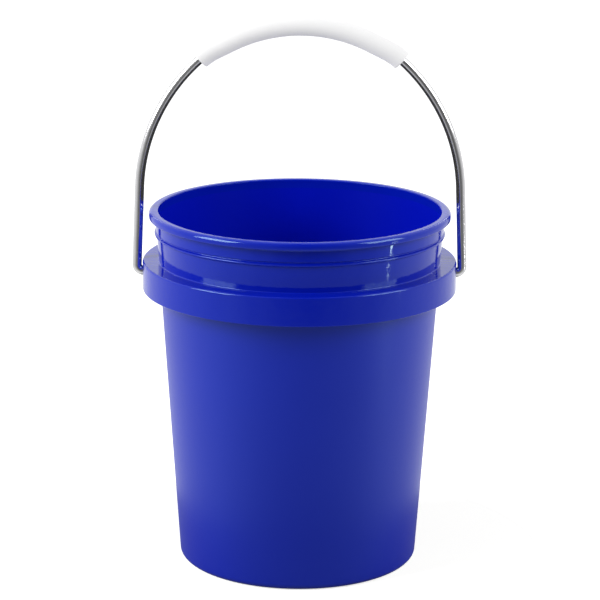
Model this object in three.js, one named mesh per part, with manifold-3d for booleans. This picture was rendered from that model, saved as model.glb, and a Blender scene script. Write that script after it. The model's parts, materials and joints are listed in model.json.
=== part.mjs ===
// A round wash bucket with a steel bail and a soft grip, in millimetres.
// The floor is at z = 0, the bucket's axis is z and the bail turns about x.
import * as THREE from 'three';
import { mergeVertices } from 'three/addons/utils/BufferGeometryUtils.js';
import Module from 'manifold-3d';

// Bucket: one tapered wall from the floor to the rim.
const rimHeight = 360;
const rimRadius = 151;
const lipRound = 4.6;
const lipInnerRadius = 141.2;
const lipInnerRound = 2;
const lipDepth = 7.7;
const lipLowInset = 0.2;
const lipLowRound = 1.4;
const lipUnder = 0.7;
const lipUnderRound = 1.4;
const wallRadiusAtFloor = 120.1;
const wallTaper = 0.0679;
const wallThickness = 2.5;
const roundSteps = 64;

// Foot and floor.
const footRound = 6;
const footInnerRadius = 105;
const footRecess = 3;
const floorTop = 6;
const floorRound = 5;

// Neck rings under the lip: the upper band, a small groove and a bead.
const upperBandRadius = 143.9;
const upperBandBottom = 339.8;
const grooveRadius = 142.9;
const grooveWidth = 1.6;
const beadRadius = 145.2;
const beadBottom = 335;
const beadTop = 337.4;
const beadRise = 0.8;
const grooveEdge = 0.6;

// Skirt: the downward collar that carries the bail.
const skirtRadius = 157.2;
const skirtTop = 308.7;
const skirtBottom = 279.8;
const skirtWall = 2.5;
const skirtCornerRound = 1.8;
const skirtEdgeWidth = 0.5;
const skirtEdgeHeight = 0.8;
const neckFillet = 1;
const ribCount = 24;
const ribThickness = 2;
const ribBottom = 290;
const ribBite = 0.2;

// Ear sockets and the bail's axis.
const axisHeight = 295.4;
const earWidth = 20;
const earBottom = 284;
const earHoleRadius = 5.2;
const earHoleEnd = 142.4;

// Bail: a round rod, symmetric about x = 0, in the plane y = 0.
const rodRadius = 4.75;
const rodSides = 16;
const crownHeight = 544;
const crownBend = 155;
const crownSlope = THREE.MathUtils.degToRad(26.5);
const runLength = 17;
const kneeBend = 68;
const kneeSlope = THREE.MathUtils.degToRad(42);
const shoulderBend = 183;
const legSlope = THREE.MathUtils.degToRad(87.75);
const elbowBend = 6.3;
const pinTip = 144.2;

// Grip: a soft sleeve pushed over the crown of the bail.
const gripRadius = 10.2;
const gripBore = 5.15;
const kneeSteps = 4;

const blue = new THREE.MeshStandardMaterial({ color: 0x1526b4, roughness: 0.3, metalness: 0 });
const steel = new THREE.MeshStandardMaterial({ color: 0xc4c6c8, roughness: 0.18, metalness: 1 });
const white = new THREE.MeshStandardMaterial({ color: 0xf0f0f2, roughness: 0.6, metalness: 0 });

const wasm = await Module();
wasm.setup();

// A solid that the boolean library can add and subtract.
function toSolid(geometry) {
  const bare = geometry.clone();
  bare.deleteAttribute('normal');
  bare.deleteAttribute('uv');
  const joined = mergeVertices(bare, 1e-4);
  const mesh = new wasm.Mesh({
    numProp: 3,
    vertProperties: new Float32Array(joined.attributes.position.array),
    triVerts: new Uint32Array(joined.index.array),
  });
  return new wasm.Manifold(mesh);
}

// A three.js geometry made from a solid.
function toGeometry(solid) {
  const mesh = solid.getMesh();
  const geometry = new THREE.BufferGeometry();
  geometry.setAttribute('position', new THREE.BufferAttribute(mesh.vertProperties, 3));
  geometry.setIndex(new THREE.BufferAttribute(mesh.triVerts, 1));
  geometry.computeVertexNormals();
  return geometry;
}

function wallRadius(z) {
  return wallRadiusAtFloor + wallTaper * z;
}

// Points of an arc in the (radius, z) plane, angles in degrees.
function arc(centreRadius, centreZ, radius, fromDegrees, toDegrees, steps) {
  const points = [];
  for (let i = 0; i <= steps; i += 1) {
    const angle = THREE.MathUtils.degToRad(fromDegrees + (toDegrees - fromDegrees) * i / steps);
    const across = centreRadius + radius * Math.cos(angle);
    points.push(new THREE.Vector2(across, centreZ + radius * Math.sin(angle)));
  }
  return points;
}

// Points that round a corner of an outline, starting and ending a given reach away from it.
function roundedCorner(before, corner, after, reach, steps) {
  const start = before.clone().sub(corner).setLength(reach).add(corner);
  const end = after.clone().sub(corner).setLength(reach).add(corner);
  const curve = new THREE.QuadraticBezierCurve(start, corner, end);
  return curve.getPoints(steps);
}

// Underside of the foot and the outer wall up to the root of the skirt.
function footOutline() {
  const footCentre = wallRadius(footRound) - footRound;
  return [
    new THREE.Vector2(0, footRecess),
    new THREE.Vector2(footInnerRadius, footRecess),
    new THREE.Vector2(footInnerRadius + footRecess, 0),
    ...arc(footCentre, footRound, footRound, -90, -4, 5),
  ];
}

// The skirt's inside, lower edge, outer face and flat top, and the fillet up to the neck.
function skirtOutline() {
  const rootZ = skirtTop - skirtWall;
  const cornerRadius = skirtRadius - skirtCornerRound;
  const cornerZ = skirtTop - skirtCornerRound;
  const filletZ = skirtTop + neckFillet;
  return [
    new THREE.Vector2(wallRadius(rootZ), rootZ),
    new THREE.Vector2(skirtRadius - skirtWall, rootZ),
    new THREE.Vector2(skirtRadius - skirtWall, skirtBottom),
    new THREE.Vector2(skirtRadius - skirtEdgeWidth, skirtBottom),
    new THREE.Vector2(skirtRadius, skirtBottom + skirtEdgeHeight),
    ...arc(cornerRadius, cornerZ, skirtCornerRound, 0, 90, 4),
    ...arc(wallRadius(filletZ) + neckFillet, filletZ, neckFillet, -90, -180, 2),
  ];
}

// The neck's bead, groove and upper band, and the rounded lip.
function rimOutline() {
  const band = new THREE.Vector2(upperBandRadius, upperBandBottom);
  const under = new THREE.Vector2(upperBandRadius, rimHeight - lipDepth - lipUnder);
  const low = new THREE.Vector2(rimRadius - lipLowInset, rimHeight - lipDepth);
  const side = new THREE.Vector2(rimRadius, rimHeight - lipRound);
  return [
    new THREE.Vector2(wallRadius(beadBottom), beadBottom),
    new THREE.Vector2(beadRadius, beadBottom + beadRise),
    new THREE.Vector2(beadRadius, beadTop),
    new THREE.Vector2(grooveRadius, upperBandBottom - grooveWidth),
    new THREE.Vector2(grooveRadius, upperBandBottom - grooveEdge),
    band,
    ...roundedCorner(band, under, low, lipUnderRound, 2),
    ...roundedCorner(under, low, side, lipLowRound, 2),
    ...arc(rimRadius - lipRound, rimHeight - lipRound, lipRound, 0, 90, 5),
    ...arc(lipInnerRadius + lipInnerRound, rimHeight - lipInnerRound, lipInnerRound, 90, 180, 3),
  ];
}

// The inner wall and the floor, back to the axis.
function insideOutline() {
  const topZ = rimHeight - 2 * lipRound;
  const roundZ = floorTop + floorRound;
  const roundCentre = wallRadius(roundZ) - wallThickness - floorRound;
  return [
    new THREE.Vector2(wallRadius(topZ) - wallThickness, topZ),
    ...arc(roundCentre, roundZ, floorRound, 0, -90, 4),
    new THREE.Vector2(0, floorTop),
  ];
}

// The turned shape of the moulding. Lathe geometry turns about y, so it is stood up afterwards.
function turnedShell() {
  const outline = [...footOutline(), ...skirtOutline(), ...rimOutline(), ...insideOutline()];
  const geometry = new THREE.LatheGeometry(outline, roundSteps);
  geometry.rotateX(Math.PI / 2);
  return toSolid(geometry);
}

// A block that joins the wall to the inside of the skirt, at an angle about z.
function skirtBlock(width, bottom, angle) {
  const innerX = wallRadius(skirtTop) - wallThickness + ribBite;
  const outerX = skirtRadius - skirtWall / 2;
  const top = skirtTop - skirtWall / 2;
  const geometry = new THREE.BoxGeometry(outerX - innerX, width, top - bottom);
  geometry.translate((outerX + innerX) / 2, 0, (top + bottom) / 2);
  geometry.rotateZ(angle);
  return toSolid(geometry);
}

// Stiffening ribs under the skirt, with an ear socket in place of the rib at each end of the bail.
function skirtSupports() {
  const blocks = [];
  for (let i = 0; i < ribCount; i += 1) {
    const isEar = i % (ribCount / 2) === 0;
    const angle = i * 2 * Math.PI / ribCount;
    blocks.push(skirtBlock(isEar ? earWidth : ribThickness, isEar ? earBottom : ribBottom, angle));
  }
  return blocks;
}

// The blind hole that one end of the bail turns in.
function earHole(side) {
  const outerX = skirtRadius + 2;
  const geometry = new THREE.CylinderGeometry(earHoleRadius, earHoleRadius, outerX - earHoleEnd, 24);
  geometry.rotateZ(Math.PI / 2);
  geometry.translate(side * (outerX + earHoleEnd) / 2, 0, axisHeight);
  return toSolid(geometry);
}

function bucketGeometry() {
  let solid = turnedShell();
  for (const block of skirtSupports()) {
    solid = solid.add(block);
  }
  solid = solid.subtract(earHole(1));
  solid = solid.subtract(earHole(-1));
  return toGeometry(solid);
}

// A circular bend in the plane y = 0. Slope 0 is the crown, heading for +x, and 90 degrees is straight down.
class Bend extends THREE.Curve {
  constructor(start, radius, fromSlope, toSlope) {
    super();
    this.start = start;
    this.radius = radius;
    this.fromSlope = fromSlope;
    this.toSlope = toSlope;
  }

  getPoint(t, target = new THREE.Vector3()) {
    const slope = this.fromSlope + (this.toSlope - this.fromSlope) * t;
    const x = this.start.x + this.radius * (Math.sin(slope) - Math.sin(this.fromSlope));
    const z = this.start.z - this.radius * (Math.cos(this.fromSlope) - Math.cos(slope));
    return target.set(x, 0, z);
  }
}

// Curves end to end, each cut into its own number of steps.
class SteppedPath extends THREE.Curve {
  constructor(pieces) {
    super();
    this.pieces = pieces;
    this.stepCount = pieces.reduce((sum, piece) => sum + piece.steps, 0);
  }

  getPoint(t, target = new THREE.Vector3()) {
    let steps = t * this.stepCount;
    let index = 0;
    while (index < this.pieces.length - 1 && steps > this.pieces[index].steps) {
      steps -= this.pieces[index].steps;
      index += 1;
    }
    return this.pieces[index].curve.getPoint(steps / this.pieces[index].steps, target);
  }

  // The steps are the stations of the sweep, so distance along the path isn't evened out.
  getUtoTmapping(u) {
    return u;
  }
}

// Runs a curve the other way round, mirrored to the other side of the bail.
class MirroredCurve extends THREE.Curve {
  constructor(curve) {
    super();
    this.curve = curve;
  }

  getPoint(t, target = new THREE.Vector3()) {
    this.curve.getPoint(1 - t, target);
    target.x = -target.x;
    return target;
  }
}

function straight(start, length, slope) {
  const end = new THREE.Vector3(start.x + length * Math.cos(slope), 0, start.z - length * Math.sin(slope));
  return new THREE.LineCurve3(start, end);
}

// The right half of the rod, from the crown down to the end of its pin.
function rightHalf() {
  const crown = new Bend(new THREE.Vector3(0, 0, crownHeight), crownBend, 0, crownSlope);
  const run = straight(crown.getPoint(1), runLength, crownSlope);
  const knee = new Bend(run.v2, kneeBend, crownSlope, kneeSlope);
  const shoulder = new Bend(knee.getPoint(1), shoulderBend, kneeSlope, legSlope);
  const legTop = shoulder.getPoint(1);
  const legDrop = legTop.z - axisHeight - elbowBend * (1 + Math.cos(legSlope));
  const leg = straight(legTop, legDrop / Math.sin(legSlope), legSlope);
  const elbow = new Bend(leg.v2, elbowBend, legSlope, Math.PI);
  const pin = new THREE.LineCurve3(elbow.getPoint(1), new THREE.Vector3(pinTip, 0, axisHeight));
  return { crown, run, knee, shoulder, leg, elbow, pin };
}

function bothHalves(pieces) {
  const left = pieces.map(({ curve, steps }) => ({ curve: new MirroredCurve(curve), steps }));
  return new SteppedPath([...left.reverse(), ...pieces]);
}

function sweep(shape, path) {
  const options = { steps: path.stepCount, extrudePath: path, curveSegments: rodSides / 2 };
  const geometry = new THREE.ExtrudeGeometry(shape, options);
  return toGeometry(toSolid(geometry));
}

function rodGeometry() {
  const half = rightHalf();
  const path = bothHalves([
    { curve: half.crown, steps: 6 },
    { curve: half.run, steps: 1 },
    { curve: half.knee, steps: kneeSteps },
    { curve: half.shoulder, steps: 9 },
    { curve: half.leg, steps: 1 },
    { curve: half.elbow, steps: 6 },
    { curve: half.pin, steps: 1 },
  ]);
  const section = new THREE.Shape();
  section.absarc(0, 0, rodRadius, 0, 2 * Math.PI);
  return sweep(section, path);
}

// The sleeve follows the crown, the straight runs and the knees.
function gripGeometry() {
  const half = rightHalf();
  const path = bothHalves([
    { curve: half.crown, steps: 6 },
    { curve: half.run, steps: 1 },
    { curve: half.knee, steps: kneeSteps },
  ]);
  const section = new THREE.Shape();
  section.absarc(0, 0, gripRadius, 0, 2 * Math.PI);
  const bore = new THREE.Path();
  bore.absarc(0, 0, gripBore, 0, 2 * Math.PI);
  section.holes.push(bore);
  return sweep(section, path);
}

function namedMesh(name, geometry, material) {
  const mesh = new THREE.Mesh(geometry, material);
  mesh.name = name;
  return mesh;
}

const bucket = new THREE.Group();
bucket.add(namedMesh('bucket_shell', bucketGeometry(), blue));

const bail = new THREE.Group();
bail.add(namedMesh('bail_rod', rodGeometry(), steel));
bail.add(namedMesh('grip_sleeve', gripGeometry(), white));

const part = new THREE.Group();
part.add(bucket);
part.add(bail);

export default part;
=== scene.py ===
# A round wash bucket with a steel bail and a soft grip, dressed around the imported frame.
import json
import math

import bmesh
import bpy
from mathutils import Matrix, Vector


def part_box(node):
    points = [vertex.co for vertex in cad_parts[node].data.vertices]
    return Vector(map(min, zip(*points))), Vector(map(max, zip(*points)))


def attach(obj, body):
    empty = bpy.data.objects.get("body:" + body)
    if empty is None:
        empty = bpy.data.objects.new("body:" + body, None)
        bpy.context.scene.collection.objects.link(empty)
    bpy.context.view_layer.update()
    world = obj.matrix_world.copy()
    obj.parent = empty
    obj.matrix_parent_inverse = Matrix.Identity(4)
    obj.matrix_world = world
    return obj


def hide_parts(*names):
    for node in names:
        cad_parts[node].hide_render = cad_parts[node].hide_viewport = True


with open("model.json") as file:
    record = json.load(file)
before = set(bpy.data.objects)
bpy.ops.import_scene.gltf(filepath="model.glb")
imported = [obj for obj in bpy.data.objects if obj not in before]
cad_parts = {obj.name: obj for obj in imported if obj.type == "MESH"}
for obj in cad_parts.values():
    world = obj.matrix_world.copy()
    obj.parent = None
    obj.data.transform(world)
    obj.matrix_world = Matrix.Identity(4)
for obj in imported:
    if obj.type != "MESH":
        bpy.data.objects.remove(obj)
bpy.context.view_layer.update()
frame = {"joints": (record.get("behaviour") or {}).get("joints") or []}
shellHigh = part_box("bucket_shell")[1]
rodLow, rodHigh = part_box("bail_rod")
gripLow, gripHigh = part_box("grip_sleeve")
pinHeight = frame["joints"][0]["pos_m"][2]
print("frame loaded, rim at", round(shellHigh.z, 4), "pins at", round(pinHeight, 4))

modelling = {
    "mergeGap": 0.00001,         # vertices closer than this become one
    "mirrorGap": 0.0001,         # and so do the two halves at the middle plane
    "vertSlack": 0.00002,        # how far a picked vertex may be from the place asked for
    "edgeSlack": 0.0002,         # and a picked edge
}


def deselectAll():
    if bpy.context.object and bpy.context.object.mode != "OBJECT":
        bpy.ops.object.mode_set(mode="OBJECT")
    bpy.ops.object.select_all(action="DESELECT")


def pick(*objs):
    deselectAll()
    for obj in objs:
        obj.select_set(True)
    bpy.context.view_layer.objects.active = objs[0]


def nameLast(name):
    obj = bpy.context.object
    obj.name = name
    obj.data.name = name
    return obj


def clearSelection(obj):
    # in edit mode, selects nothing and hands over the mesh to pick from
    mesh = bmesh.from_edit_mesh(obj.data)
    for part in (mesh.faces, mesh.edges, mesh.verts):
        for item in part:
            item.select = False
    return mesh


def selectVerts(obj, test):
    # picks the vertices whose place passes the test
    mesh = clearSelection(obj)
    for vert in mesh.verts:
        vert.select = test(vert.co)
    mesh.select_flush(True)
    bmesh.update_edit_mesh(obj.data)


def selectEdges(obj, test):
    # picks the edges whose middle and direction pass the test, and counts them
    mesh = clearSelection(obj)
    for edge in mesh.edges:
        middle = (edge.verts[0].co + edge.verts[1].co) / 2
        along = (edge.verts[1].co - edge.verts[0].co).normalized()
        if test(middle, along):
            edge.select = True
    bmesh.update_edit_mesh(obj.data)
    return sum(e.select for e in mesh.edges)


def applyModifier(obj, kind, **settings):
    pick(obj)
    bpy.ops.object.modifier_add(type=kind)
    modifier = obj.modifiers[-1]
    for key, value in settings.items():
        setattr(modifier, key, value)
    bpy.ops.object.modifier_apply(modifier=modifier.name)


def mirrorAcross(obj):
    applyModifier(obj, "MIRROR", use_axis=(True, False, False), use_clip=True,
                  merge_threshold=modelling["mirrorGap"])


def cleanMesh(obj):
    pick(obj)
    bpy.ops.object.mode_set(mode="EDIT")
    bpy.ops.mesh.select_all(action="SELECT")
    bpy.ops.mesh.remove_doubles(threshold=modelling["mergeGap"])
    bpy.ops.mesh.normals_make_consistent(inside=False)
    bpy.ops.object.mode_set(mode="OBJECT")


def smooth(obj, degrees):
    pick(obj)
    bpy.ops.object.shade_smooth_by_angle(angle=math.radians(degrees))
    applyModifier(obj, "WEIGHTED_NORMAL", weight=50, keep_sharp=True)


bucketShape = {
    "spinSteps": 256,
    "wallThick": 0.0025,
    "wallAtFloor": 0.1201,       # outer radius of the wall, carried down to the floor
    "taper": 0.0679,             # how much the radius grows with the height
    "wallSplit": 0.27,           # height of an edge round the wall, below the ribs
    "ringInner": 0.108,          # the flat standing ring starts here
    "ringRound": 0.0008,
    "recessEdge": 0.105,
    "recess": 0.003,
    "recessRound": 0.001,
    "footRound": 0.006,
    "floorTop": 0.006,
    "floorRound": 0.005,
    "skirtTopBelowRim": 0.0513,
    "skirtDeep": 0.0289,
    "skirtWall": 0.0025,
    "skirtRound": 0.0018,
    "skirtRootRound": 0.001,
    "skirtLowRound": 0.0009,
    "neckFillet": 0.001,
    "beadRadius": 0.1452,
    "beadLowBelowRim": 0.025,
    "beadRises": (0.0008, 0.0024),       # where the bead starts and ends, above its foot
    "beadRound": 0.0006,
    "grooveRadius": 0.1429,
    "grooveRises": (0.0034, 0.0042),
    "grooveRound": 0.0004,
    "bandRadius": 0.1439,                # the upper neck band
    "bandRise": 0.0048,
    "lipOuter": 0.151,
    "lipInner": 0.1412,
    "lipInnerRound": 0.002,
    "lipDeep": 0.0077,
    "lipUnder": 0.0007,          # how much lower the lip's underside is where it meets the band
    "lipUnderRound": 0.0014,
    "lipLowInset": 0.0002,
    "lipLowRound": 0.0014,
    "lipRound": 0.0046,
    "smoothAngle": 32,
    "seamSlack": 0.0005,         # how far past a seam a finish may reach
    "collarStands": 0.002,       # what stands further out than this from the wall is glossy
}


def wallAt(height):
    return bucketShape["wallAtFloor"] + bucketShape["taper"] * height


def bucketCorners():
    # radius, height, reach and steps of the rounding at each corner,
    # from the axis under the floor, round the outside, to the axis on top
    s = bucketShape
    rim = shellHigh.z
    skirtOut = shellHigh.y
    skirtTop = rim - s["skirtTopBelowRim"]
    skirtLow = skirtTop - s["skirtDeep"]
    skirtIn = skirtOut - s["skirtWall"]
    skirtRoot = skirtTop - s["skirtWall"]
    bead = rim - s["beadLowBelowRim"]
    lipLow = rim - s["lipDeep"]
    lipTurn = rim - 2 * s["lipRound"]
    innerFoot = wallAt(s["floorTop"]) - s["wallThick"]
    return [
        (0, s["recess"], 0, 0),
        (s["recessEdge"], s["recess"], s["recessRound"], 3),
        (s["ringInner"], 0, s["ringRound"], 3),
        (wallAt(0), 0, s["footRound"], 8),
        (wallAt(s["wallSplit"]), s["wallSplit"], 0, 0),
        (wallAt(skirtRoot), skirtRoot, s["skirtRootRound"], 3),
        (skirtIn, skirtRoot, s["skirtRootRound"], 3),
        (skirtIn, skirtLow, s["skirtLowRound"], 3),
        (skirtOut, skirtLow, s["skirtLowRound"], 4),
        (skirtOut, skirtTop, s["skirtRound"], 6),
        (wallAt(skirtTop), skirtTop, s["neckFillet"], 3),
        (wallAt(bead), bead, s["beadRound"], 3),
        *[(s["beadRadius"], bead + rise, s["beadRound"], 3) for rise in s["beadRises"]],
        *[(s["grooveRadius"], bead + rise, s["grooveRound"], 3) for rise in s["grooveRises"]],
        (s["bandRadius"], bead + s["bandRise"], s["grooveRound"], 3),
        (s["bandRadius"], lipLow - s["lipUnder"], s["lipUnderRound"], 5),
        (s["lipOuter"] - s["lipLowInset"], lipLow, s["lipLowRound"], 5),
        (s["lipOuter"], rim, s["lipRound"], 10),
        (s["lipInner"], rim, s["lipInnerRound"], 6),
        (wallAt(lipTurn) - s["wallThick"], lipTurn, 0, 0),
        (innerFoot, s["floorTop"], s["floorRound"], 6),
        (0, s["floorTop"], 0, 0),
    ]


def drawOutline(name, corners):
    # a vertex is walked from corner to corner, then each corner is rounded
    deselectAll()
    bpy.ops.mesh.primitive_plane_add(size=0.01, location=(0, 0, 0))
    obj = nameLast(name)
    places = [Vector((radius, 0, height)) for radius, height, reach, steps in corners]
    bpy.ops.object.mode_set(mode="EDIT")
    bpy.ops.mesh.select_mode(type="VERT")
    bpy.ops.mesh.merge(type="CENTER")
    bpy.ops.transform.translate(value=places[0])
    for here, there in zip(places, places[1:]):
        bpy.ops.mesh.extrude_region_move(TRANSFORM_OT_translate={"value": there - here})
    for place, (radius, height, reach, steps) in zip(places, corners):
        if reach:
            selectVerts(obj, lambda co: (co - place).length < modelling["vertSlack"])
            bpy.ops.mesh.bevel(offset=reach, segments=steps, affect="VERTICES", profile=0.5)
    bpy.ops.object.mode_set(mode="OBJECT")
    return obj


def turnOutline(obj, steps):
    pick(obj)
    bpy.ops.object.mode_set(mode="EDIT")
    bpy.ops.mesh.select_all(action="SELECT")
    bpy.ops.mesh.spin(steps=steps, angle=2 * math.pi, center=(0, 0, 0), axis=(0, 0, 1))
    bpy.ops.object.mode_set(mode="OBJECT")
    cleanMesh(obj)


supportShape = {
    "count": 24,
    "ribThick": 0.002,
    "ribLow": 0.290,
    "earWide": 0.020,
    "earLow": 0.284,
    "bite": 0.0008,              # how far a block reaches into the wall and the skirt
    "ribRound": 0.0006,
    "earRound": 0.002,
    "roundSteps": 3,
}


def supportBlock(name, width, low, rounding):
    # a block between the wall and the skirt, at the +X side, with its lower edges rounded
    s = supportShape
    top = shellHigh.z - bucketShape["skirtTopBelowRim"] - bucketShape["skirtWall"] + s["bite"]
    inner = wallAt(low) - s["bite"]
    outer = shellHigh.y - bucketShape["skirtWall"] + s["bite"]
    deselectAll()
    bpy.ops.mesh.primitive_cube_add(size=1, location=((inner + outer) / 2, 0, (low + top) / 2))
    obj = nameLast(name)
    obj.scale = (outer - inner, width, top - low)
    bpy.ops.object.transform_apply(location=True, rotation=True, scale=True)
    bpy.ops.object.mode_set(mode="EDIT")
    slack = modelling["edgeSlack"]
    selectEdges(obj, lambda middle, along: abs(middle.z - low) < slack and abs(along.x) > 0.9)
    bpy.ops.mesh.bevel(offset=rounding, segments=s["roundSteps"], profile=0.5)
    bpy.ops.object.mode_set(mode="OBJECT")
    return obj


def supports():
    # ribs all round under the skirt, with an ear in place of the rib at each side
    s = supportShape
    step = 2 * math.pi / s["count"]
    blocks = []
    rib = supportBlock("rib", s["ribThick"], s["ribLow"], s["ribRound"])
    ear = supportBlock("ear", s["earWide"], s["earLow"], s["earRound"])
    for i in range(s["count"]):
        original = ear if i % (s["count"] // 2) == 0 else rib
        pick(original)
        bpy.ops.object.duplicate()
        block = bpy.context.object
        bpy.ops.transform.rotate(value=-i * step, orient_axis="Z", center_override=(0, 0, 0))
        bpy.ops.object.transform_apply(location=True, rotation=True, scale=True)
        blocks.append(block)
    bpy.data.objects.remove(rib)
    bpy.data.objects.remove(ear)
    pick(*blocks)
    bpy.ops.object.join()
    return bpy.context.object


holeShape = {
    "radius": 0.0052,
    "end": 0.1424,               # distance of the blind end from the axis
    "flare": 0.0011,
    "sides": 48,
}


def holeCutter(side):
    # a round cutter along X whose mouth flares where it leaves the skirt
    s = holeShape
    outer = shellHigh.y
    mouth = outer - s["flare"]
    deselectAll()
    bpy.ops.mesh.primitive_cylinder_add(
        vertices=s["sides"], radius=s["radius"], depth=mouth - s["end"],
        location=(side * (mouth + s["end"]) / 2, 0, pinHeight),
        rotation=(0, side * math.pi / 2, 0))
    obj = nameLast("holeCutter")
    bpy.ops.object.transform_apply(location=True, rotation=True, scale=True)
    bpy.ops.object.mode_set(mode="EDIT")
    bpy.ops.mesh.select_mode(type="FACE")
    mesh = bmesh.from_edit_mesh(obj.data)
    for face in mesh.faces:
        face.select = face.normal.x * side > 0.9
    bmesh.update_edit_mesh(obj.data)
    reach = 2 * s["flare"]
    bpy.ops.mesh.extrude_region_move(TRANSFORM_OT_translate={"value": (side * reach, 0, 0)})
    grow = (s["radius"] + reach) / s["radius"]
    bpy.ops.transform.resize(value=(1, grow, grow), center_override=(side * outer, 0, pinHeight))
    bpy.ops.mesh.select_mode(type="VERT")
    bpy.ops.object.mode_set(mode="OBJECT")
    return obj


bucketShell = drawOutline("bucketShell", bucketCorners())
turnOutline(bucketShell, bucketShape["spinSteps"])
print("shell turned,", len(bucketShell.data.vertices), "vertices")

blocks = supports()
applyModifier(bucketShell, "BOOLEAN", object=blocks, operation="UNION", solver="EXACT")
bpy.data.objects.remove(blocks)
for side in (1, -1):
    cutter = holeCutter(side)
    applyModifier(bucketShell, "BOOLEAN", object=cutter, operation="DIFFERENCE", solver="EXACT")
    bpy.data.objects.remove(cutter)
smooth(bucketShell, bucketShape["smoothAngle"])
print("ribs and ears joined,", len(bucketShell.data.vertices), "vertices")


bailPath = {
    "rodSides": 40,
    "crownBend": 0.155,
    "crownSlope": math.radians(26.5),
    "crownSteps": 20,
    "run": 0.017,
    "kneeBend": 0.068,
    "kneeSlope": math.radians(42),
    "kneeSteps": 8,
    "shoulderBend": 0.183,
    "shoulderSteps": 40,
    "legSlope": math.radians(87.75),
    "legSteps": 4,
    "elbowBend": 0.0063,
    "elbowSteps": 16,
    "pinTip": 0.1442,            # distance of the pin's end from the axis
    "tipRound": 0.0009,
    "smoothAngle": 35,
}


class Walker:
    # follows the middle of the bent rod, from the crown down the +X side
    def __init__(self, height):
        self.place = Vector((0, 0, height))
        self.slope = 0

    def outward(self):
        return Vector((math.sin(self.slope), 0, math.cos(self.slope)))

    def onward(self):
        return Vector((math.cos(self.slope), 0, -math.sin(self.slope)))

    def bend(self, radius, slope, steps):
        centre = self.place - radius * self.outward()
        bpy.ops.mesh.spin(steps=steps, angle=self.slope - slope, center=centre, axis=(0, 1, 0))
        self.slope = slope
        self.place = centre + radius * self.outward()

    def straight(self, length, steps=1):
        for i in range(steps):
            value = self.onward() * length / steps
            bpy.ops.mesh.extrude_region_move(TRANSFORM_OT_translate={"value": value})
            self.place += value


def startRing(name, radius, sides, height):
    deselectAll()
    bpy.ops.mesh.primitive_circle_add(
        vertices=sides, radius=radius, fill_type="NOTHING",
        location=(0, 0, height), rotation=(0, math.pi / 2, 0))
    obj = nameLast(name)
    bpy.ops.object.transform_apply(location=True, rotation=True, scale=True)
    bpy.ops.object.mode_set(mode="EDIT")
    bpy.ops.mesh.select_mode(type="VERT")
    bpy.ops.mesh.select_all(action="SELECT")
    return obj


def makeRod():
    s = bailPath
    radius = (rodHigh.y - rodLow.y) / 2
    obj = startRing("bailRod", radius, s["rodSides"], crownHeight)
    walk = Walker(crownHeight)
    walk.bend(s["crownBend"], s["crownSlope"], s["crownSteps"])
    walk.straight(s["run"])
    walk.bend(s["kneeBend"], s["kneeSlope"], s["kneeSteps"])
    walk.bend(s["shoulderBend"], s["legSlope"], s["shoulderSteps"])
    # the leg runs on until the elbow can turn into the pin at the height of the hinge
    dropInElbow = s["elbowBend"] * (1 + math.cos(s["legSlope"]))
    leg = (walk.place.z - pinHeight - dropInElbow) / math.sin(s["legSlope"])
    walk.straight(leg, s["legSteps"])
    walk.bend(s["elbowBend"], math.pi, s["elbowSteps"])
    walk.straight(walk.place.x - s["pinTip"] - s["tipRound"])
    walk.straight(s["tipRound"])
    shrink = 1 - s["tipRound"] / radius
    bpy.ops.transform.resize(value=(1, shrink, shrink), center_override=walk.place)
    bpy.ops.mesh.edge_face_add()
    bpy.ops.object.mode_set(mode="OBJECT")
    mirrorAcross(obj)
    cleanMesh(obj)
    smooth(obj, s["smoothAngle"])
    return obj


sleeveShape = {
    "sides": 64,
    "bore": 0.00515,
    "crownSteps": 24,
    "runSteps": 3,
    "kneeSteps": 10,
    "endRound": 0.0012,
    "endSteps": 5,
    "smoothAngle": 40,
}


def makeSleeve():
    # a tube that follows the rod over its crown and knees
    s = sleeveShape
    path = bailPath
    radius = (gripHigh.y - gripLow.y) / 2
    obj = startRing("gripSleeve", radius, s["sides"], crownHeight)
    walk = Walker(crownHeight)
    walk.bend(path["crownBend"], path["crownSlope"], s["crownSteps"])
    walk.straight(path["run"], s["runSteps"])
    walk.bend(path["kneeBend"], path["kneeSlope"], s["kneeSteps"])
    bpy.ops.object.mode_set(mode="OBJECT")
    mirrorAcross(obj)
    cleanMesh(obj)
    applyModifier(obj, "SOLIDIFY", thickness=radius - s["bore"], offset=-1, use_even_offset=True)
    endPlace, endAlong = walk.place.copy(), walk.onward()
    pick(obj)
    bpy.ops.object.mode_set(mode="EDIT")
    bpy.ops.mesh.select_mode(type="EDGE")

    def atEndRing(middle, along):
        # the outer edges of either end, both read on the +X side
        offset = Vector((abs(middle.x), middle.y, middle.z)) - endPlace
        past = offset.dot(endAlong)
        outer = (offset - past * endAlong).length > (radius + s["bore"]) / 2
        return abs(past) < modelling["edgeSlack"] and outer and offset.length < 2 * radius

    found = selectEdges(obj, atEndRing)
    bpy.ops.mesh.bevel(offset=s["endRound"], segments=s["endSteps"], profile=0.5)
    bpy.ops.mesh.select_mode(type="VERT")
    bpy.ops.object.mode_set(mode="OBJECT")
    smooth(obj, s["smoothAngle"])
    print("sleeve ends at x", round(endPlace.x, 4), "edges rounded", found)
    return obj


crownHeight = gripHigh.z - (gripHigh.y - gripLow.y) / 2
bailRod = makeRod()
gripSleeve = makeSleeve()
print("bail bent, ends at", tuple(round(v, 4) for v in bailRod.dimensions))


def newMaterial(name):
    material = bpy.data.materials.new(name)
    material.use_nodes = True
    tree = material.node_tree
    tree.nodes.clear()
    output = tree.nodes.new("ShaderNodeOutputMaterial")
    shader = tree.nodes.new("ShaderNodeBsdfPrincipled")
    tree.links.new(shader.outputs["BSDF"], output.inputs["Surface"])
    return material, tree, shader


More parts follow.
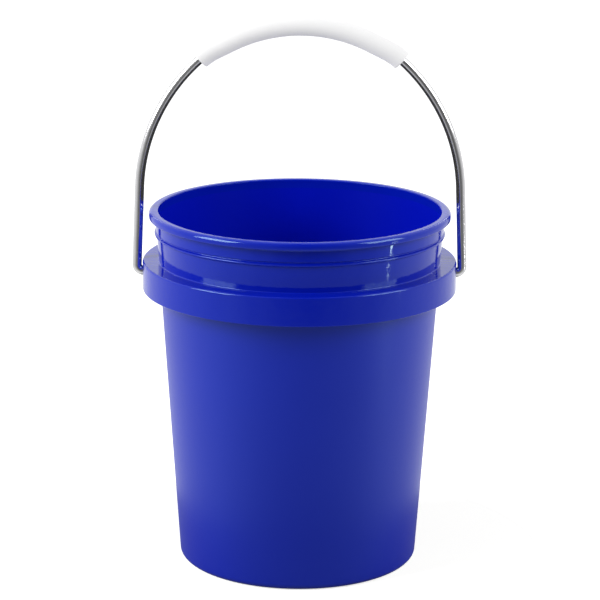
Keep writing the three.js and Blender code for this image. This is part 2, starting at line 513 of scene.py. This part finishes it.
def link(tree, source, target):
    tree.links.new(source, target)


def objectPlace(tree):
    return tree.nodes.new("ShaderNodeTexCoord").outputs["Object"]


def noise(tree, vector, scale, detail, roughness):
    node = tree.nodes.new("ShaderNodeTexNoise")
    node.inputs["Scale"].default_value = scale
    node.inputs["Detail"].default_value = detail
    node.inputs["Roughness"].default_value = roughness
    link(tree, vector, node.inputs["Vector"])
    return node.outputs["Fac"]


def spread(tree, value, low, high):
    node = tree.nodes.new("ShaderNodeMapRange")
    node.inputs["To Min"].default_value = low
    node.inputs["To Max"].default_value = high
    link(tree, value, node.inputs["Value"])
    return node.outputs["Result"]


def bump(tree, height, distance, below=None):
    node = tree.nodes.new("ShaderNodeBump")
    node.inputs["Strength"].default_value = 1
    node.inputs["Distance"].default_value = distance
    link(tree, height, node.inputs["Height"])
    if below is not None:
        link(tree, below, node.inputs["Normal"])
    return node.outputs["Normal"]


def blendColours(tree, share, first, second):
    node = tree.nodes.new("ShaderNodeMix")
    node.data_type = "RGBA"
    link(tree, share, node.inputs["Factor"])
    node.inputs["A"].default_value = (*first, 1)
    node.inputs["B"].default_value = (*second, 1)
    return node.outputs["Result"]


def setInputs(shader, **values):
    # values that are the same all over the surface
    sockets = {"tint": "Specular Tint", "level": "Specular IOR Level", "metal": "Metallic",
               "rough": "Roughness", "glow": "Emission Strength", "glowColour": "Emission Color"}
    for key, value in values.items():
        shader.inputs[sockets[key]].default_value = value


bluePlastic = {
    # painted shade: the outside blues are painted darker than the inside blues, so one plastic has a
    # shaded copy outside and a lighter copy inside
    "shadedOutside": ((0.0006, 0.0075, 0.37), (0.0012, 0.0105, 0.415)),    # deep and light blue
    "inside": ((0.0006, 0.0045, 0.42), (0.001, 0.0065, 0.47)),
    "tint": (0.62, 0.94, 1.0, 1),                                    # of the highlights
    "cloudScale": 9,
    "fineScale": 220,
    "roughSpread": 0.03,
    # colours, roughness, highlight level, then scale and height of the grain and of the wave
    "satinBlue": ("shadedOutside", 0.36, 0.58, (1400, 0.00002), (14, 0.0003)),
    "glossBlue": ("shadedOutside", 0.08, 0.5, (150, 0.00012), (22, 0.0005)),
    "insideBlue": ("inside", 0.2, 0.35, (1200, 0.000004), (12, 0.0002)),
}


def bluePlasticMaterial(name):
    s = bluePlastic
    colours, rough, level, (grainScale, grainHeight), (waveScale, waveHeight) = s[name]
    material, tree, shader = newMaterial(name)
    place = objectPlace(tree)
    cloud = noise(tree, place, s["cloudScale"], 4, 0.55)
    fine = noise(tree, place, s["fineScale"], 3, 0.6)
    roughness = spread(tree, fine, rough - s["roughSpread"], rough + s["roughSpread"])
    wave = bump(tree, noise(tree, place, waveScale, 1, 0.3), waveHeight)
    grain = bump(tree, noise(tree, place, grainScale, 2, 0.5), grainHeight, wave)
    link(tree, blendColours(tree, cloud, *s[colours]), shader.inputs["Base Color"])
    link(tree, roughness, shader.inputs["Roughness"])
    link(tree, grain, shader.inputs["Normal"])
    setInputs(shader, level=level, tint=s["tint"])
    return material


steelFinish = {
    "dark": (0.70, 0.70, 0.72),
    "bright": (0.86, 0.86, 0.87),
    "cloudScale": 60,
    "rough": (0.1, 0.22),
    "fineScale": 350,
    "grainScale": 160,
    "grainDetail": (2, 0.5),
    "grainHeight": 0.00008,
}

foamFinishAndGlow = {
    "dark": (0.6, 0.6, 0.606),
    "bright": (0.64, 0.64, 0.646),
    "cloudScale": 40,
    "rough": (0.55, 0.7),
    "fineScale": 500,
    "grainScale": 1800,
    "grainDetail": (3, 0.6),
    "grainHeight": 0.00006,
    "level": 0.3,
    # painted light: the sleeve glows though it is no lamp, so that its shaded underside looks lit
    "glow": 0.27,                # keeps the underside of the sleeve light
}


def mottledMaterial(name, s):
    # a cloudy colour, a roughness that varies and a fine grain
    material, tree, shader = newMaterial(name)
    place = objectPlace(tree)
    cloud = noise(tree, place, s["cloudScale"], 4, 0.6)
    fine = noise(tree, place, s["fineScale"], 3, 0.6)
    grain = noise(tree, place, s["grainScale"], *s["grainDetail"])
    link(tree, blendColours(tree, cloud, s["dark"], s["bright"]), shader.inputs["Base Color"])
    link(tree, spread(tree, fine, *s["rough"]), shader.inputs["Roughness"])
    link(tree, bump(tree, grain, s["grainHeight"]), shader.inputs["Normal"])
    return material, shader


def steelMaterial():
    material, shader = mottledMaterial("polishedSteel", steelFinish)
    setInputs(shader, metal=1)
    return material


def foamMaterial():
    material, shader = mottledMaterial("whiteFoamWithGlow", foamFinishAndGlow)
    # the foam is given a glow, which is painted light on the sleeve
    setInputs(shader, level=foamFinishAndGlow["level"], glow=foamFinishAndGlow["glow"], glowColour=(1, 1, 1, 1))
    return material


def paintBucket(obj):
    # satin body, glossy collar and lip, and the inside
    s = bucketShape
    # the satin and glossy finishes take the outside blues, which are painted darker than the inside
    # blue as painted shade
    for name in ("satinBlue", "glossBlue", "insideBlue"):
        obj.data.materials.append(bluePlasticMaterial(name))
    satin, gloss, inside = range(3)
    skirtTop = shellHigh.z - s["skirtTopBelowRim"]
    glossStarts = skirtTop - s["skirtDeep"] - s["seamSlack"]
    insideStarts = s["floorTop"] - s["seamSlack"]
    insideEnds = shellHigh.z - 2 * s["lipRound"] - s["seamSlack"]
    for face in obj.data.polygons:
        centre = face.center
        pastWall = math.hypot(centre.x, centre.y) - wallAt(centre.z)
        face.material_index = satin
        if pastWall < -s["wallThick"] / 2 and insideStarts < centre.z < insideEnds:
            face.material_index = inside
        elif centre.z > glossStarts and (pastWall > s["collarStands"] or centre.z > skirtTop):
            face.material_index = gloss


paintBucket(bucketShell)
bailRod.data.materials.append(steelMaterial())
gripSleeve.data.materials.append(foamMaterial())
print("materials on")

for piece, body, node, slotName in (
        (bucketShell, "bucket", "bucket_shell", "bucket_plastic"),
        (bailRod, "bail", "bail_rod", "bail_steel"),
        (gripSleeve, "bail", "grip_sleeve", "grip_soft")):
    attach(piece, body)
    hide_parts(node)


studio = {
    "background": 1.0,
    "darkAzimuth": math.radians(9),   # the unlit end of the room, behind the camera
    # degrees away from the unlit end, and how bright the table and the room are there
    "table": [(0, 0.42), (35, 0.48), (60, 0.66), (90, 0.88), (180, 1.0)],
    "room": [(0, 0.1), (12, 0.15), (37, 0.34), (64, 0.62), (95, 0.8), (140, 1.0), (180, 1.05)],
    "tableStarts": -0.2,              # height of a direction where the table begins to show
    "tableFull": -0.42,
    "under": 0.85,                    # brightness of the table close to the bucket
    "underStarts": -0.45,
    "underFull": -0.8,
    "panelColour": (1.0, 0.995, 0.99),
    "panelSize": 1.2,
    "panelAway": 2.2,
    "panelAzimuth": math.radians(68),
    "panelRise": math.radians(27),
    "leftPower": 43,
    "rightPower": 27,
    "strips": [(0.115, 0.05), (-0.055, 0.06)],   # height of the middle, and length
    "stripPower": 0.1,
    "stripWide": 0.035,
    "stripAway": (1.0, -0.32),
    # radius, height, and the darkest and lightest grey of each disc
    "floor": (6, -0.0004, 0.93, 0.96),
    "footCard": (0.25, -0.0002, 0.26, 0.32),
    "openingCard": (0.138, 0.002, 0.02, 0.04),   # its height is above the rim
    "discSides": 96,
    "discRough": 0.9,
    "floorGlow": 0.5,
}


def panel(name, place, aim, size, power):
    # a soft rectangular light that faces a point
    deselectAll()
    bpy.ops.object.light_add(type="AREA", location=place)
    light = nameLast(name)
    light.data.shape = "RECTANGLE"
    light.data.size, light.data.size_y = size
    light.data.energy = power
    light.data.color = studio["panelColour"]
    light.rotation_euler = (Vector(aim) - Vector(place)).to_track_quat("-Z", "Y").to_euler()


def buildPanels():
    # two large soft lights at the sides, and the thin lights that make the streak on the neck
    s = studio
    aim = Vector((0, 0, shellHigh.z))
    reach = s["panelAway"] * math.cos(s["panelRise"])
    across = reach * math.sin(s["panelAzimuth"])
    rise = s["panelAway"] * math.sin(s["panelRise"])
    for name, side, power in (("panelLeft", -1, s["leftPower"]), ("panelRight", 1, s["rightPower"])):
        spot = Vector((side * across, -reach * math.cos(s["panelAzimuth"]), rise))
        panel(name, aim + spot, aim, (s["panelSize"], s["panelSize"]), power)
    for number, (height, length) in enumerate(s["strips"]):
        place = (*s["stripAway"], height)
        panel(f"strip{number}", place, (0, 0, height), (s["stripWide"], length), s["stripPower"])


def buildWorld():
    # the camera sees plain white, and everything else sees a room that is dark at one end
    world = bpy.data.worlds.new("studio")
    bpy.context.scene.world = world
    world.use_nodes = True
    tree = world.node_tree
    tree.nodes.clear()
    output = tree.nodes.new("ShaderNodeOutputWorld")
    seen = tree.nodes.new("ShaderNodeBackground")
    seen.inputs["Color"].default_value = (1, 1, 1, 1)
    seen.inputs["Strength"].default_value = studio["background"]
    lit = tree.nodes.new("ShaderNodeBackground")
    rays = tree.nodes.new("ShaderNodeLightPath")
    mix = tree.nodes.new("ShaderNodeMixShader")
    place = tree.nodes.new("ShaderNodeTexCoord")

    def vectorMath(operation, first, second=None):
        node = tree.nodes.new("ShaderNodeVectorMath")
        node.operation = operation
        link(tree, first, node.inputs[0])
        if second is not None:
            node.inputs[1].default_value = second
        return node

    def ramp(value, stops):
        # value runs from -1 to 1
        node = tree.nodes.new("ShaderNodeMapRange")
        node.inputs["From Min"].default_value = -1
        link(tree, value, node.inputs["Value"])
        curve = tree.nodes.new("ShaderNodeValToRGB")
        curve.color_ramp.interpolation = "EASE"
        while len(curve.color_ramp.elements) < len(stops):
            curve.color_ramp.elements.new(0.5)
        for element, (at, level) in zip(curve.color_ramp.elements, stops):
            element.position = (at + 1) / 2
            element.color = (level, level, level, 1)
        link(tree, node.outputs["Result"], curve.inputs["Fac"])
        return curve.outputs["Color"]

    s = studio
    flat = vectorMath("MULTIPLY", place.outputs["Generated"], (1, 1, 0))
    compass = vectorMath("NORMALIZE", flat.outputs["Vector"])
    dark = (math.sin(s["darkAzimuth"]), -math.cos(s["darkAzimuth"]), 0)
    facing = vectorMath("DOT_PRODUCT", compass.outputs["Vector"], dark).outputs["Value"]
    table, room = [[(math.cos(math.radians(away)), level) for away, level in reversed(s[name])]
                   for name in ("table", "room")]
    split = tree.nodes.new("ShaderNodeSeparateXYZ")
    link(tree, place.outputs["Generated"], split.inputs["Vector"])
    tableShare = ramp(split.outputs["Z"], [(s["tableFull"], 1), (s["tableStarts"], 0)])
    underShare = ramp(split.outputs["Z"], [(s["underFull"], 1), (s["underStarts"], 0)])

    def blendLevels(share, first, second=None):
        # with no second level, the table under the bucket is blended in
        blend = tree.nodes.new("ShaderNodeMix")
        blend.data_type = "RGBA"
        blend.inputs["B"].default_value = (s["under"], s["under"], s["under"], 1)
        link(tree, share, blend.inputs["Factor"])
        link(tree, first, blend.inputs["A"])
        if second is not None:
            link(tree, second, blend.inputs["B"])
        return blend.outputs["Result"]

    level = blendLevels(tableShare, ramp(facing, room), ramp(facing, table))
    level = blendLevels(underShare, level)
    link(tree, level, lit.inputs["Color"])
    link(tree, rays.outputs["Is Camera Ray"], mix.inputs["Fac"])
    link(tree, lit.outputs["Background"], mix.inputs[1])
    link(tree, seen.outputs["Background"], mix.inputs[2])
    link(tree, mix.outputs["Shader"], output.inputs["Surface"])


def disc(name, lift=0, glow=0):
    # a flat matte disc that casts no shadow
    radius, height, dark, light = studio[name]
    deselectAll()
    bpy.ops.mesh.primitive_circle_add(
        vertices=studio["discSides"], radius=radius, fill_type="NGON", location=(0, 0, height + lift))
    obj = nameLast(name)
    material, tree, shader = newMaterial(name)
    cloud = noise(tree, objectPlace(tree), 3, 3, 0.5)
    link(tree, blendColours(tree, cloud, (dark,) * 3, (light,) * 3), shader.inputs["Base Color"])
    setInputs(shader, rough=studio["discRough"], level=0, glow=glow, glowColour=(1, 1, 1, 1))
    obj.data.materials.append(material)
    obj.visible_shadow = False
    return obj


def buildFloor():
    floor = disc("floor", glow=studio["floorGlow"])
    floor.visible_diffuse = False
    floor.visible_glossy = False


def buildCards():
    # the camera sees neither: one under the bucket darkens the foot,
    # and one over the opening is only seen in the steel
    footCard = disc("footCard")
    openingCard = disc("openingCard", lift=shellHigh.z)
    footCard.visible_camera = False
    openingCard.visible_camera = False
    openingCard.visible_diffuse = False


buildWorld()
buildFloor()
buildCards()
buildPanels()

cameraSetup = {
    "place": (0.0007, -2.5858, 0.9393),
    "tilt": math.radians(75.4),
    "roll": math.radians(0.41),
    "lens": 159.2,
    "sensor": 36,
    "farthest": 50,              # nothing past this is drawn
}


def buildCamera():
    s = cameraSetup
    deselectAll()
    bpy.ops.object.camera_add(location=s["place"])
    camera = nameLast("camera")
    turn = Matrix.Rotation(s["tilt"], 4, "X") @ Matrix.Rotation(s["roll"], 4, "Z")
    camera.matrix_world = Matrix.Translation(s["place"]) @ turn
    camera.data.sensor_width = s["sensor"]
    camera.data.lens = s["lens"]
    camera.data.clip_end = s["farthest"]
    bpy.context.scene.camera = camera


buildCamera()
bpy.context.scene.view_settings.view_transform = "Standard"
print("studio and camera ready")
